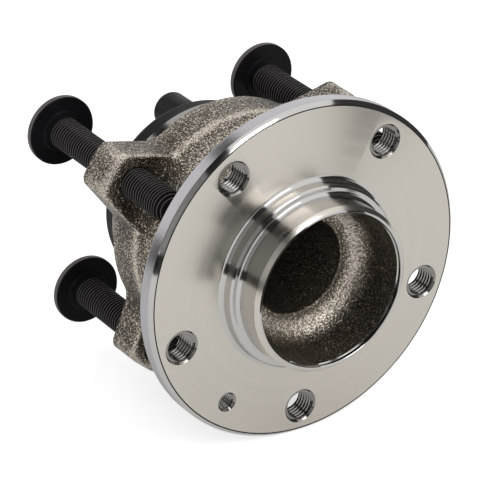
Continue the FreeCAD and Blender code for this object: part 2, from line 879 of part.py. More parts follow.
def make_bolts():
    """Four hexagon flange bolts, screwed through the lugs from the vehicle side."""
    shank = size("bolt_shank_radius")
    head = size("bolt_head_station")
    tip = head - size("bolt_length")
    flange = size("bolt_flange_radius")
    edge = size("bolt_flange_edge")
    thick = size("bolt_flange_thickness")
    collar = size("bolt_collar_radius")
    rise = size("bolt_collar_height")
    corner = size("bolt_hex_radius")
    tall = size("bolt_hex_height")
    lead = size("bolt_hex_lead")
    over = size("cut_overrun")
    fall = (lead + over) * trig("tan", size("bolt_hex_lead_angle"))
    for index, (angle, reach, shift) in enumerate(lugs(), start=1):
        bolt = new_body(f"mounting_bolt_{index}")
        corners = [
            (ZERO, tip),
            (size("bolt_tip_radius"), tip),
            (shank, tip + size("bolt_tip_lead")),
            (shank, head - rise),
            (collar, head - rise),
            (collar, head),
            (flange - edge / 2.0, head),
            (flange, head + edge / 2.0),
            (flange, head + edge * 1.5),
            (corner, head + thick),
            (ZERO, head + thick),
        ]
        revolve(bolt, "ShankAndFlange", corners)
        sketch = new_sketch(bolt, "HexOutline", "XZ_Plane", -(head + thick))
        hexagon = []
        for step in range(HEX_SIDES):
            side = FULL_TURN * step / HEX_SIDES
            hexagon.append((corner * trig("cos", side), corner * trig("sin", side)))
        draw_loop(sketch, hexagon)
        drive = bolt.newObject("PartDesign::Pad", "Hex")
        drive.Profile = sketch
        drive.Reversed = True
        drive.Length = tall.value
        bind(drive, Length=tall)
        doc.recompute()
        top = head + thick + tall
        revolve(bolt, "HexLead", [
            (corner - lead, top),
            (corner + over, top),
            (corner + over, top - fall),
        ], cut=True)
        distance = size("knuckle_bolt_radius")
        across = distance * trig("cos", angle)
        up = distance * trig("sin", angle)
        turn = size(f"bolt_turn_{index}")
        turned = Rotation(Vector(0, 1, 0), turn.value)
        bolt.Placement = Placement(Vector(across.value, 0, up.value), turned)
        bolt.setExpression(".Placement.Base.x", across.text)
        bolt.setExpression(".Placement.Base.z", up.text)
        bolt.setExpression(".Placement.Rotation.Angle", turn.text)


def check_and_write():
    """Stop on any failed object, then write each sub-part."""
    doc.recompute()
    for item in doc.Objects:
        if "Invalid" in item.State or "Error" in item.State:
            raise RuntimeError(f"{item.Label} failed: {item.State}")
    for part in parts:
        shape = part.Shape
        if shape.isNull() or not shape.isValid() or shape.Volume <= 0 or len(shape.Solids) != 1:
            raise RuntimeError(f"{part.Label} has no single sound solid")
    os.makedirs("parts", exist_ok=True)
    for part in parts:
        part.Shape.exportStep(f"parts/{part.Label}.step")
        print(part.Label, round(part.Shape.Volume, 1))


make_hub()
make_inner_ring()
make_outer_ring()
make_row("outboard", size("outboard_row_station"), 1.0)
make_row("inboard", size("inboard_row_station"), -1.0)
make_outboard_seal()
face = make_encoder()
cap_top = make_cap()
make_sensor(face, cap_top)
make_bolts()
check_and_write()
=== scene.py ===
"""Looks of a wheel hub bearing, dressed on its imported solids.

Lengths in the shapes are in millimetres and become metres in the meshes. The axle lies along Y,
and a station is a place along it, counted from the wheel face of the flange.
"""
import math
from functools import partial

import bmesh
import bpy
import numpy as np
from mathutils import Matrix, Vector


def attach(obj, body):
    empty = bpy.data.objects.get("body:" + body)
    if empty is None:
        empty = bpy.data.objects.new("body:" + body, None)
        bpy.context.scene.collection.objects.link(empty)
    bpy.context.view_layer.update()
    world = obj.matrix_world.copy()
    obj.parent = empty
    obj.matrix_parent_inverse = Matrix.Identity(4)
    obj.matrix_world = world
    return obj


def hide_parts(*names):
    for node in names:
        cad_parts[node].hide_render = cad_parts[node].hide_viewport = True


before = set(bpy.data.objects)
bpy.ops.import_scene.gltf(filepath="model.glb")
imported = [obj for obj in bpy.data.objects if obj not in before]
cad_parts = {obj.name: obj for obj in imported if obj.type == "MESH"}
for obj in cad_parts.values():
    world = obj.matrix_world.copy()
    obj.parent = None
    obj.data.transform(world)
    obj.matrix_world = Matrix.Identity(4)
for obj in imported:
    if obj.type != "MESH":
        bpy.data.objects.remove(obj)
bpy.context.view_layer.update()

bl_info = {
    "name": "Wheel hub bearing",
    "version": (1, 0, 0),
    "blender": (4, 5, 0),
    "location": "3D View > Sidebar > Hub",
    "description": "Builds the visible pieces of a wheel hub bearing, their finishes and a studio",
    "category": "Mesh",
}

MM = 0.001

# The ball tracks: radius of the balls' circle, radius of the track and the stations of the two rows
BALL_CIRCLE = 28.5
TRACK_RADIUS = 6.47
OUTBOARD_ROW, INBOARD_ROW = 29.0, 56.0

# The outer ring: its barrel, its lugs' stations, and each lug's angle, reach and sideways shift
BARREL_RADIUS = 45.2
LUG_FRONT, LUG_BACK = 43.0, 57.0
LUGS = [(-48.4, 62.3, 0.0), (33.5, 64.1, -0.6), (146.5, 64.1, 0.6), (228.4, 62.3, 0.0)]

# Where each mounting bolt stands (x, z), and how many degrees it is turned about itself
BOLT_CENTRES = {
    1: (-43.863, 29.032),
    2: (43.863, 29.032),
    3: (-34.922, -39.334),
    4: (34.922, -39.334),
}
BOLT_TURNS = {1: 15.0, 2: 22.0, 3: 33.0, 4: 5.0}

# Finish of each kept solid, by the start of its name
NODE_FINISHES = {
    "ground_steel": ("inner_ring", "outboard_seal_case", "encoder_carrier"),
    "polished_steel": ("outboard_ball", "inboard_ball"),
    "cage_polymer": ("outboard_cage", "inboard_cage"),
    "seal_rubber": ("outboard_seal_lip", "encoder_ring", "cap_seal_ring", "sensor_seal_ring"),
    "cap_polymer": ("rear_cap", "speed_sensor"),
    "contact_brass": ("connector_pin",),
}

# The finishes, and the shader groups that they share, by name
FINISHES = {}
GROUPS = {}

# The camera, in metres
CAMERA_PLACE = (-0.56410, -0.82829, 0.52607)
CAMERA_LOOK = (0.48374, 0.74705, -0.45597)
CAMERA_LENS = 239.94
SENSOR_WIDTH = 36.0

# Lamps: place, width and height in metres, and power in watts
LAMPS = {
    "top_light": ((0.10, -0.95, 0.87), 0.5, 0.5, 2.6),
    "left_light": ((-1.00, -0.80, 0.45), 0.45, 0.6, 1.9),
}
LAMP_AIM = (0.0, 0.02, 0.0)

# Strength of the surroundings for plain surfaces, and how far the floor is lifted to white
WHITE = (1.0, 1.0, 1.0, 1.0)
WORLD_LIGHT = 0.68
FLOOR_LIFT, FLOOR_LIFT_IN_GLOSS = 0.62, 0.12
FLOOR_LEVEL, FLOOR_REACH = -64.6 * MM, 6.0

# Dark cards that only glossy steel shows: from one angle about the axle to another, from one tilt
# off the face to another (or, for the face, from one radius on it to another), and the tone
CHAMFER_CARDS = [
    (34.0, 80.0, 25.0, 80.0, 0.06),
    (119.5, 129.0, 28.0, 80.0, 0.02),
    (129.0, 158.5, 28.0, 80.0, 0.38),
    (158.5, 165.5, 24.0, 80.0, 0.02),
    (37.0, 49.0, 80.0, 96.0, 0.02),
    (114.5, 124.5, 80.0, 96.0, 0.02),
    (154.0, 164.0, 80.0, 96.0, 0.10),
]
CORNER_CARDS = [
    (50.0, 80.0, -12.0, 8.0, 0.02),
    (119.0, 131.0, -26.0, 22.0, 0.02),
    (131.0, 159.0, -14.0, 12.0, 0.18),
    (158.5, 166.0, -20.0, 16.0, 0.02),
]
FACE_CARDS = [
    (119.0, 141.0, 22.0, 59.0, 0.02),
    (141.0, 167.0, 16.0, 54.0, 0.02),
    (84.0, 96.0, 26.0, 44.0, 0.05),
]
# In metres: how far the cards stand off, the radius their rays start from and their lowest point
FAR_CARD, NEAR_CARD = 0.85, 0.045
CARD_START = 0.045
CARD_BOTTOM = -0.06


def length(name, value, text):
    """A size of the part, kept in metres and stated in millimetres."""
    return bpy.props.FloatProperty(
        name=name, description=text, default=value * MM, subtype="DISTANCE", unit="LENGTH"
    )


def colour(name, value, text):
    """A colour of one of the part's finishes."""
    return bpy.props.FloatVectorProperty(
        name=name, description=text, default=value, size=3, min=0.0, max=1.0, subtype="COLOR"
    )


class HubSizes(bpy.types.PropertyGroup):
    flange_radius: length("Flange radius", 64.6, "Outer radius of the wheel flange")
    pilot_radius: length("Wheel pilot radius", 31.7, "Radius of the pilot that centres the wheel")
    disc_radius: length("Disc pilot radius", 35.0, "Radius of the ring that centres the brake disc")
    hole_circle: length("Wheel hole circle", 54.0, "Radius of the circle of wheel holes")
    hole_radius: length("Thread root radius", 6.0, "Radius of a wheel hole at its thread's root")
    hole_count: bpy.props.IntProperty(
        name="Wheel holes", description="How many wheel holes", default=5, min=3, max=8
    )
    hole_angle: bpy.props.FloatProperty(
        name="First wheel hole",
        description="Angle of the first wheel hole",
        default=math.radians(52.1),
        subtype="ANGLE",
    )
    thread_pitch: length("Thread pitch", 1.5, "Pitch of the wheel holes and of the mounting bolts")
    thread_depth: length("Thread depth", 0.75, "Radial depth of the threads")
    forging_round: length("Forging round", 0.85, "How far the forged corners are softened")


class HubColours(bpy.types.PropertyGroup):
    turned: colour("Turned steel", (0.675, 0.635, 0.572), "Turned faces of the flange")
    polished: colour("Polished steel", (0.60, 0.585, 0.57), "Ground and polished steel")
    rim: colour("Rim steel", (0.49, 0.48, 0.50), "Turned outside of the flange")
    thread: colour("Thread steel", (0.32, 0.308, 0.295), "Cut threads of the wheel holes")
    forged: colour("Forged skin", (0.080, 0.063, 0.044), "Rough forged and blasted skin")
    bare: colour("Bare steel", (0.80, 0.73, 0.63), "Specks where the forged skin is rubbed through")
    pocket: colour("Pocket skin", (0.125, 0.109, 0.084), "Rough forged bottom of the pilot")
    phosphate: colour("Phosphate", (0.008, 0.008, 0.009), "Black phosphate of the bolts")
    # Lighter crests and edges of the bolts: rubbed phosphate and painted highlight
    rubbed: colour("Rubbed phosphate", (0.12, 0.115, 0.108), "Crests and edges of the bolts")
    groove: colour("Fine grooves", (0.02, 0.02, 0.022), "Oil and shadow in the fine turned grooves")
    polymer: colour("Cap polymer", (0.008, 0.008, 0.009), "Moulded cap and sensor")
    rubber: colour("Rubber", (0.035, 0.035, 0.035), "Seal lips and rings")
    cage: colour("Cage polymer", (0.16, 0.12, 0.07), "Ball cages")
    brass: colour("Contact brass", (0.65, 0.50, 0.24), "Sensor contacts")
    floor: colour("Floor", (0.86, 0.86, 0.86), "Studio floor")


# Shapes

def compass(angle):
    """The direction at an angle, in a plane."""
    return np.array([math.cos(angle), math.sin(angle)])


def about_axle(r, y, angle):
    """The point at a radius and a station, turned about the axle."""
    return (r * math.cos(angle), y, r * math.sin(angle))


def arc(centre_r, centre_y, radius, start, end, steps):
    """Points of an arc in the plane of radius and station, between two angles in degrees."""
    angles = np.radians(np.linspace(start, end, steps + 1))
    return [(centre_r + radius * math.cos(a), centre_y + radius * math.sin(a)) for a in angles]


def rounded_path(corners, pace=0.4):
    """Points of an outline from corners of (radius, station, rounding, finish of the next run)."""
    points = []
    finishes = []
    last = len(corners) - 1
    for index, (r, y, rounding, finish) in enumerate(corners):
        here = np.array([r, y], float)
        if rounding > 0 and 0 < index < last:
            before = np.array(corners[index - 1][:2], float) - here
            after = np.array(corners[index + 1][:2], float) - here
            before /= np.linalg.norm(before)
            after /= np.linalg.norm(after)
            half = math.acos(max(-1.0, min(1.0, float(before @ after)))) / 2
            reach = rounding / math.tan(half)
            middle = (before + after) / np.linalg.norm(before + after)
            centre = here + middle * rounding / math.sin(half)
            start = here + before * reach - centre
            end = here + after * reach - centre
            first = math.atan2(start[1], start[0])
            turn = math.atan2(end[1], end[0]) - first
            turn = (turn + math.pi) % (2 * math.pi) - math.pi
            steps = min(14, max(2, int(abs(turn) * rounding / pace)))
            for step in range(steps + 1):
                points.append(centre + rounding * compass(first + turn * step / steps))
                finishes.append(finish if step == steps else corners[index - 1][3])
        else:
            points.append(here)
            finishes.append(finish)
    return np.array(points), finishes


def grid_faces(rows, columns, base=0, closed=True):
    """Faces between rows of points. In a closed grid each row runs on into its own start."""
    faces = []
    for row in range(rows - 1):
        a = base + row * columns
        for k in range(columns if closed else columns - 1):
            n = (k + 1) % columns
            faces.append((a + k, a + n, a + columns + n, a + columns + k))
    return faces


def new_object(name, data):
    """An object of the scene, at the origin."""
    thing = bpy.data.objects.new(name, data)
    bpy.context.scene.collection.objects.link(thing)
    return thing


def smooth(mesh, sharp=32.0):
    """Smooth faces, with sharp edges over an angle in degrees."""
    mesh.shade_smooth()
    mesh.set_sharp_from_angle(angle=math.radians(sharp))


def mesh_object(name, verts, faces, finishes, materials, sharp=32.0):
    """A mesh object in metres from points in millimetres, with smooth faces and sharp corners."""
    mesh = bpy.data.meshes.new(name)
    mesh.from_pydata([tuple(point) for point in np.asarray(verts) * MM], [], faces)
    for material in materials:
        mesh.materials.append(material)
    mesh.polygons.foreach_set("material_index", finishes)
    shape = bmesh.new()
    shape.from_mesh(mesh)
    bmesh.ops.remove_doubles(shape, verts=shape.verts, dist=1e-7)
    bmesh.ops.dissolve_degenerate(shape, dist=1e-7, edges=shape.edges)
    bmesh.ops.recalc_face_normals(shape, faces=shape.faces)
    shape.to_mesh(mesh)
    shape.free()
    smooth(mesh, sharp)
    return new_object(name, mesh)


def turned_mesh(name, points, finishes, materials, segments):
    """A turned piece about the Y axis. Ends on the axis close to a point."""
    angles = np.linspace(0, 2 * math.pi, segments, endpoint=False)
    verts = []
    rows = []
    for r, y in points:
        if r < 1e-6:
            rows.append([len(verts)] * segments)
            verts.append((0.0, y, 0.0))
        else:
            rows.append(list(range(len(verts), len(verts) + segments)))
            verts.extend(about_axle(r, y, a) for a in angles)
    faces = []
    indices = []
    for low, high, finish in zip(rows, rows[1:], finishes):
        for k in range(segments):
            n = (k + 1) % segments
            face = list(dict.fromkeys((low[k], low[n], high[n], high[k])))
            if len(face) > 2:
                faces.append(face)
                indices.append(finish)
    return mesh_object(name, verts, faces, indices, materials)


def settle(thing):
    """Make a piece's modifiers part of its mesh."""
    bpy.context.view_layer.update()
    shown = thing.evaluated_get(bpy.context.evaluated_depsgraph_get())
    mesh = bpy.data.meshes.new_from_object(shown)
    thing.modifiers.clear()
    old = thing.data
    thing.data = mesh
    bpy.data.meshes.remove(old)
    smooth(mesh)


def cut(thing, places, profile, finish, segments=64):
    """Cut a hole along the axle at each place, of one profile in radius and station."""
    verts = []
    faces = []
    for x, z in places:
        base = len(verts)
        for r, y in profile:
            for k in range(segments):
                angle = 2 * math.pi * k / segments
                verts.append((x + r * math.cos(angle), y, z + r * math.sin(angle)))
        faces += grid_faces(len(profile), segments, base)
        for end in (base, len(verts) - segments):
            faces.append([end + k for k in range(segments)])
    skin = [FINISHES[finish]]
    tool = mesh_object(thing.name + "_tool", verts, faces, [0] * len(faces), skin)
    step = thing.modifiers.new("Cut", "BOOLEAN")
    step.operation = "DIFFERENCE"
    step.solver = "EXACT"
    step.material_mode = "TRANSFER"
    step.object = tool
    settle(thing)
    bpy.data.objects.remove(tool)


def join(name, things):
    """One object from several, keeping their finishes."""
    target = things[0]
    with bpy.context.temp_override(
        active_object=target, selected_editable_objects=things, object=target
    ):
        bpy.ops.object.join()
    target.name = name
    target.data.name = name
    return target


def place(thing, body, slot, *nodes):
    """Let a finished piece stand for its nodes and ride on its body. Its slot is not used."""
    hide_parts(*nodes)
    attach(thing, body)


# Wear and painted light

def vertex_rows(mesh, name):
    """A value of every vertex, such as its place or its normal, one row for each."""
    values = np.empty(len(mesh.vertices) * 3)
    mesh.vertices.foreach_get(name, values)
    return values.reshape(-1, 3)


def turned_places(thing):
    """The radius and the station of every vertex of a piece, in millimetres."""
    spots = vertex_rows(thing.data, "co") / MM
    return np.hypot(spots[:, 0], spots[:, 2]), spots[:, 1]


def hump(values, middle, width):
    """1 in the middle, falling away softly over a width."""
    return np.exp(-((values - middle) / width) ** 2)


def keep_wear_and_painted_light(thing, values):
    """Store each corner point's wear and painted light, from 0 in the hollows (painted shade) to 1
    on the edges (wear and painted highlight).
    """
    wear_and_painted_light = thing.data.attributes.new("wear_and_painted_light", "FLOAT", "POINT")
    wear_and_painted_light.data.foreach_set("value", np.clip(values, 0.0, 1.0).astype(np.float32))


def edge_wear_and_painted_light(thing, gain):
    """Wear and painted light of each corner point: 0.5 where the skin is flat, more on ridges as
    wear and painted highlight, and less in hollows as painted shade.
    """
    mesh = thing.data
    count = len(mesh.vertices)
    spots = vertex_rows(mesh, "co") / MM
    normals = vertex_rows(mesh, "normal")
    pairs = np.empty(len(mesh.edges) * 2, int)
    mesh.edges.foreach_get("vertices", pairs)
    pairs = pairs.reshape(-1, 2)
    bend = np.zeros(count)
    weight = np.zeros(count)
    for first, second in (pairs.T, pairs.T[::-1]):
        step = spots[second] - spots[first]
        span = np.maximum(np.linalg.norm(step, axis=1), 1e-6)
        np.add.at(bend, first, -np.einsum("ij,ij->i", step, normals[first]) / span)
        np.add.at(weight, first, span)
    links = np.maximum(np.bincount(pairs.ravel(), minlength=count), 1)
    bend = bend / weight
    for _ in range(3):
        total = bend.copy()
        np.add.at(total, pairs[:, 0], bend[pairs[:, 1]])
        np.add.at(total, pairs[:, 1], bend[pairs[:, 0]])
        bend = total / (links + 1)
    return 0.5 + bend * gain


# Node trees

def new_group(name, kind, inputs, outputs):
    """A node group with named sockets: its tree, its given inputs and the node of its results."""
    tree = bpy.data.node_groups.new(name, kind)
    for label, socket, value in inputs:
        made = tree.interface.new_socket(label, in_out="INPUT", socket_type="NodeSocket" + socket)
        if value is not None:
            made.default_value = value
    for label, socket in outputs:
        tree.interface.new_socket(label, in_out="OUTPUT", socket_type="NodeSocket" + socket)
    given = tree.nodes.new("NodeGroupInput").outputs
    return tree, given, tree.nodes.new("NodeGroupOutput")


def feed(tree, node, entries):
    """Give a node's inputs plain values, or links from other sockets."""
    for name, entry in entries.items():
        if isinstance(entry, (int, float, tuple)):
            node.inputs[name].default_value = entry
        else:
            tree.links.new(entry, node.inputs[name])


def add_node(tree, kind, entries):
    """A node with its inputs fed."""
    node = tree.nodes.new(kind)
    feed(tree, node, entries)
    return node


def maths(tree, operation, *entries):
    """The result of a math node, from sockets or plain numbers."""
    node = add_node(tree, "ShaderNodeMath", dict(enumerate(entries)))
    node.operation = operation
    return node.outputs[0]


# Threads

def thread_tree():
    """A screw thread about the Y axis, as a grid whose rows follow the helix, set round a circle.

    Four rows make a turn: the crest's start and end, then the root's start and end.
    """
    inputs = [
        ("Crest Radius", "Float", 6.0 * MM),
        ("Root Radius", "Float", 5.25 * MM),
        ("Pitch", "Float", 1.5 * MM),
        ("Start", "Float", 0.0),
        ("Length", "Float", 10.0 * MM),
        ("Turns", "Int", 8),
        ("Sides", "Int", 36),
        ("Tip Radius", "Float", 1.0),
        ("Tip Slope", "Float", 1.0),
        ("Count", "Int", 1),
        ("Circle Radius", "Float", 0.0),
        ("First Angle", "Float", 0.0),
        ("Finish", "Material", None),
    ]
    outputs = [("Geometry", "Geometry")]
    tree, given, out = new_group("screw_thread", "GeometryNodeTree", inputs, outputs)
    calc, add = partial(maths, tree), partial(add_node, tree)
    crest_share, flank_share, root_share = 0.14, 0.31, 0.24

    rows = calc("MULTIPLY", given["Turns"], 4.0)
    grid = add("GeometryNodeMeshGrid", {
        "Size X": 1.0,
        "Size Y": 1.0,
        "Vertices X": calc("ADD", given["Sides"], 1.0),
        "Vertices Y": calc("ADD", rows, 1.0),
    })
    place_in = tree.nodes.new("GeometryNodeInputPosition").outputs[0]
    spot = add("ShaderNodeSeparateXYZ", {0: place_in}).outputs
    around = calc("ADD", spot["X"], 0.5)
    row = calc("ROUND", calc("MULTIPLY", calc("ADD", spot["Y"], 0.5), rows))
    turn = calc("FLOOR", calc("DIVIDE", calc("ADD", row, 0.01), 4.0))
    phase = calc("SUBTRACT", row, calc("MULTIPLY", turn, 4.0))
    at_crest_end = calc("GREATER_THAN", phase, 0.5)
    at_root = calc("GREATER_THAN", phase, 1.5)
    at_root_end = calc("GREATER_THAN", phase, 2.5)

    shift = calc("MULTIPLY", at_crest_end, crest_share)
    shift = calc("ADD", shift, calc("MULTIPLY", at_root, flank_share))
    shift = calc("ADD", shift, calc("MULTIPLY", at_root_end, root_share))
    along = calc("ADD", calc("ADD", turn, shift), calc("SUBTRACT", around, 1.0))
    along = calc("MAXIMUM", calc("MULTIPLY", along, given["Pitch"]), 0.0)
    along = calc("MINIMUM", along, given["Length"])
    depth = calc("SUBTRACT", given["Root Radius"], given["Crest Radius"])
    tip = calc("ADD", given["Tip Radius"], calc("MULTIPLY", along, given["Tip Slope"]))
    crest = calc("MINIMUM", given["Crest Radius"], tip)
    radius = calc("ADD", crest, calc("MULTIPLY", at_root, depth))
    angle = calc("MULTIPLY", around, 2 * math.pi)
    point = add("ShaderNodeCombineXYZ", {
        "X": calc("MULTIPLY", radius, calc("COSINE", angle)),
        "Y": calc("ADD", along, given["Start"]),
        "Z": calc("MULTIPLY", radius, calc("SINE", angle)),
    }).outputs[0]
    moved = add("GeometryNodeSetPosition", {"Geometry": grid.outputs["Mesh"], "Position": point})
    merged = add("GeometryNodeMergeByDistance", {"Geometry": moved.outputs[0], "Distance": 1e-6})

    number = tree.nodes.new("GeometryNodeInputIndex").outputs[0]
    share = calc("MULTIPLY", calc("DIVIDE", number, given["Count"]), 2 * math.pi)
    way = calc("ADD", share, given["First Angle"])
    centre = add("ShaderNodeCombineXYZ", {
        "X": calc("MULTIPLY", given["Circle Radius"], calc("COSINE", way)),
        "Z": calc("MULTIPLY", given["Circle Radius"], calc("SINE", way)),
    }).outputs[0]
    ring = add("GeometryNodePoints", {"Count": given["Count"], "Position": centre}).outputs[0]
    copies = add("GeometryNodeInstanceOnPoints", {"Points": ring, "Instance": merged.outputs[0]})
    real = add("GeometryNodeRealizeInstances", {0: copies.outputs[0]}).outputs[0]
    done = add("GeometryNodeSetMaterial", {"Geometry": real, "Material": given["Finish"]})
    feed(tree, out, {"Geometry": done.outputs[0]})
    return tree


def grow(name, tree, values):
    """A plain mesh object from a node tree and its named inputs."""
    thing = new_object(name, bpy.data.meshes.new(name))
    step = thing.modifiers.new("Grow", "NODES")
    step.node_group = tree
    for item in tree.interface.items_tree:
        if item.in_out == "INPUT" and item.name in values:
            step[item.identifier] = values[item.name]
    settle(thing)
    return thing


# Finishes

def skins(*names):
    """The finishes of these names."""
    return [FINISHES[name] for name in names]


def shade(base, factor):
    """A lighter or darker tone of a colour."""
    return tuple(min(1.0, part * factor) for part in base) + (1.0,)


def noise(tree, spot, scale, detail, roughness, along_line=False):
    """Noise in space, or along a line."""
    node = tree.nodes.new("ShaderNodeTexNoise")
    node.noise_dimensions = "1D" if along_line else "3D"
    name = "W" if along_line else "Vector"
    feed(tree, node, {name: spot, "Scale": scale, "Detail": detail, "Roughness": roughness})
    return node.outputs["Fac"]


def ramp(tree, value, low, high, start=0.0, end=1.0):
    """A value stretched from one range to another, and held at its ends."""
    ends = {"From Min": low, "From Max": high, "To Min": start, "To Max": end}
    return add_node(tree, "ShaderNodeMapRange", {"Value": value, **ends}).outputs[0]


def blended(tree, factor, first, second):
    """A colour between two others."""
    node = tree.nodes.new("ShaderNodeMix")
    node.data_type = "RGBA"
    feed(tree, node, {"Factor": factor, "A": first, "B": second})
    return node.outputs["Result"]


def wear_and_light_share(tree, low, high, start=0.0, end=1.0):
    """The stored wear and painted light of a surface, stretched between two values."""
    stored = tree.nodes.new("ShaderNodeAttribute")
    stored.attribute_name = "wear_and_painted_light"
    return ramp(tree, stored.outputs["Fac"], low, high, start, end)


def relief(tree, height, distance):
    """The normal of a surface whose relief is as high as a distance in metres."""
    return add_node(tree, "ShaderNodeBump", {"Height": height, "Distance": distance}).outputs[0]


def grain_group():
    """Blasted grain: a height, a colour speckle and a slow patchiness, at a given size."""
    inputs = [("Vector", "Vector", None), ("Scale", "Float", 900.0), ("Wear and painted light", "Float", 0.0)]
    outputs = [("Height", "Float"), ("Speckle", "Float"), ("Patch", "Float")]
    tree, given, out = new_group("blasted_grain", "ShaderNodeTree", inputs, outputs)
    calc, spot, scale = partial(maths, tree), given["Vector"], given["Scale"]
    broad_scale, patch_scale, broad_height = 0.32, 0.045, 1.4
    fine = noise(tree, spot, scale, 3.0, 0.6)
    broad = noise(tree, spot, calc("MULTIPLY", scale, broad_scale), 2.0, 0.5)
    slow = noise(tree, spot, calc("MULTIPLY", scale, patch_scale), 3.0, 0.5)
    feed(tree, out, {
        "Height": calc("ADD", fine, calc("MULTIPLY", broad, broad_height)),
        "Speckle": ramp(tree, calc("ADD", fine, given["Wear and painted light"]), 0.54, 0.66),
        "Patch": ramp(tree, slow, 0.35, 0.65),
    })
    return tree


def turning_group():
    """Marks of a turning tool: rings about the axle, as a height and a tone."""
    inputs = [
        ("Vector", "Vector", None),
        ("Rings per metre", "Float", 2600.0),
        ("Axial", "Float", 0.0),
    ]
    outputs = [("Height", "Float"), ("Tone", "Float")]
    tree, given, out = new_group("turning_marks", "ShaderNodeTree", inputs, outputs)
    calc, rings, slow_scale = partial(maths, tree), given["Rings per metre"], 0.12
    x, y, z = add_node(tree, "ShaderNodeSeparateXYZ", {0: given["Vector"]}).outputs
    radius = calc("SQRT", calc("ADD", calc("MULTIPLY", x, x), calc("MULTIPLY", z, z)))
    along = calc("ADD", radius, calc("MULTIPLY", y, given["Axial"]))
    fine = noise(tree, along, rings, 2.0, 0.6, along_line=True)
    slow = noise(tree, along, calc("MULTIPLY", rings, slow_scale), 2.0, 0.5, along_line=True)
    tone = calc("ADD", calc("MULTIPLY", fine, 0.5), calc("MULTIPLY", slow, 0.5))
    feed(tree, out, {"Height": fine, "Tone": tone})
    return tree


def add_group(tree, name, entries):
    """The outputs of a shared group, laid out on the piece's own coordinates."""
    node = tree.nodes.new("ShaderNodeGroup")
    node.node_tree = GROUPS[name]
    spot = tree.nodes.new("ShaderNodeTexCoord").outputs["Object"]
    feed(tree, node, {"Vector": spot, **entries})
    return node.outputs


def new_finish(name):
    """A material with its node tree and its surface."""
    material = bpy.data.materials.new(name)
    material.use_nodes = True
    tree = material.node_tree
    return material, tree, tree.nodes["Principled BSDF"]


def forged_finish(name, base, bare, scale, distance, roughness):
    """Blasted forging: painted shade darkens its hollows, wear and painted highlight lighten its
    ridges, and bright specks show where the skin is thin or rubbed.
    """
    painted_hollow_shade, ridge_wear_and_highlight, speck_gloss = 0.25, 2.6, 0.16
    material, tree, surface = new_finish(name)
    wear_and_painted_light = wear_and_light_share(tree, 0.1, 0.9, -0.12, 0.16)
    grain = add_group(tree, "blasted_grain", {"Scale": scale, "Wear and painted light": wear_and_painted_light})
    tone = blended(tree, grain["Patch"], shade(base, 0.75), shade(base, 1.2))
    # Hollows darken towards a painted shade; ridges lighten with wear and a painted highlight.
    tone = blended(tree, wear_and_light_share(tree, 0.0, 0.5), shade(base, painted_hollow_shade), tone)
    tone = blended(tree, wear_and_light_share(tree, 0.5, 1.0), tone, shade(base, ridge_wear_and_highlight))
    feed(tree, surface, {
        "Base Color": blended(tree, grain["Speckle"], tone, (*bare, 1.0)),
        "Roughness": ramp(tree, grain["Speckle"], 0.0, 1.0, roughness, roughness - speck_gloss),
        "Metallic": 0.9,
        "Normal": relief(tree, grain["Height"], distance),
    })
    FINISHES[name] = material


def turned_finish(name, base, rings, axial, roughness, distance, stretch=0.0):
    """Turned or ground steel, with fine rings about the axle and gloss drawn out across them."""
    material, tree, surface = new_finish(name)
    marks = add_group(tree, "turning_marks", {"Rings per metre": rings, "Axial": axial})
    feed(tree, surface, {
        "Base Color": blended(tree, marks["Tone"], shade(base, 0.94), shade(base, 1.05)),
        "Roughness": ramp(tree, marks["Tone"], 0.3, 0.7, roughness * 0.9, roughness * 1.1),
        "Metallic": 1.0,
        "Normal": relief(tree, marks["Height"], distance),
    })
    if stretch > 0.0:
        ring = tree.nodes.new("ShaderNodeTangent")
        ring.direction_type = "RADIAL"
        ring.axis = "Y"
        gloss = {"Anisotropic": stretch, "Anisotropic Rotation": 0.25}
        feed(tree, surface, {"Tangent": ring.outputs[0], **gloss})
    FINISHES[name] = material


def coated_finish(
    name, base, scale, roughness, metallic, distance, contrast=0.12, gloss=0.5, rubbed=None
):
    """A moulded, coated or rubber skin with a fine grain, and lighter edges where it has them:
    rubbed wear and painted highlight.
    """
    material, tree, surface = new_finish(name)
    grain = add_group(tree, "blasted_grain", {"Scale": scale})
    patch = grain["Patch"]
    tone = blended(tree, patch, shade(base, 1 - contrast), shade(base, 1 + contrast))
    # Rubbed wear and painted highlight where the stored value is high.
    if rubbed is not None:
        tone = blended(tree, wear_and_light_share(tree, 0.85, 1.0), tone, (*rubbed, 1.0))
    feed(tree, surface, {
        "Base Color": tone,
        "Roughness": ramp(tree, patch, 0.0, 1.0, roughness - 0.05, roughness + 0.05),
        "Metallic": metallic,
        "Specular IOR Level": gloss,
        "Normal": relief(tree, grain["Height"], distance),
    })
    FINISHES[name] = material


